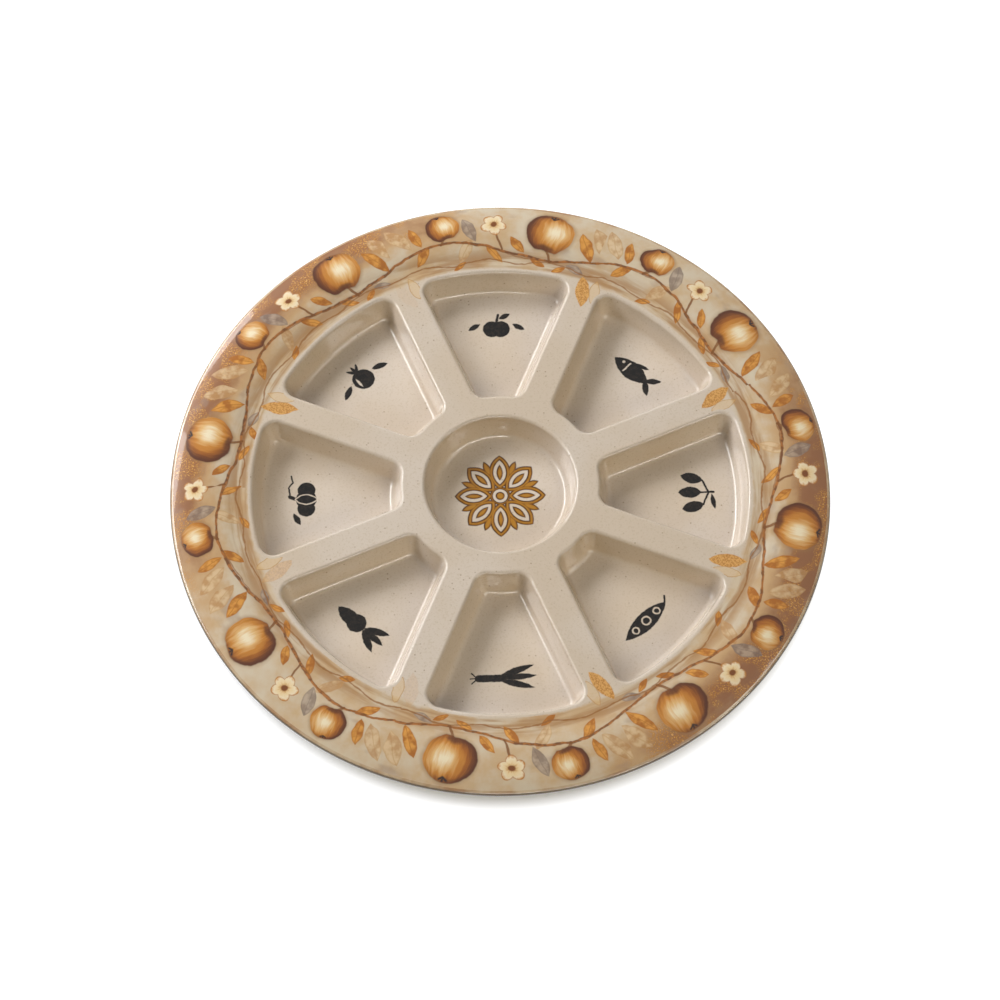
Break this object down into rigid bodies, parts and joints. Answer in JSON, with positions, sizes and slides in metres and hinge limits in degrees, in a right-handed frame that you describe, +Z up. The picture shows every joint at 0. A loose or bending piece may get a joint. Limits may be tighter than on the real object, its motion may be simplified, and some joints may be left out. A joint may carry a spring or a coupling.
{
  "type": "divided ceremonial plate",
  "caption": "Round divided serving plate with sector wells round a centre well, a printed rim and a broken foot ring.",
  "frame": {"origin": "on the table under the centre of the plate", "axes": "+Z up along the plate's axis of symmetry; +X through the middle of the first sector well"},
  "size_m": [0.25, 0.25, 0.0166],
  "materials": {
    "body": "glossy speckled melamine",
    "face_foil": "glossy printed foil moulded into the face",
    "gold_print": "glossy printed foil in gold and cream",
    "black_print": "glossy printed foil, black on the body's colour"
  },
  "bodies": {
    "root": {"plate_body": "body", "face_print": "face_foil", "center_print": "gold_print", "well_print_1": "black_print", "well_print_2": "black_print", "well_print_3": "black_print", "well_print_4": "black_print", "well_print_5": "black_print", "well_print_6": "black_print", "well_print_7": "black_print", "well_print_8": "black_print"}
  },
  "joints": []
}
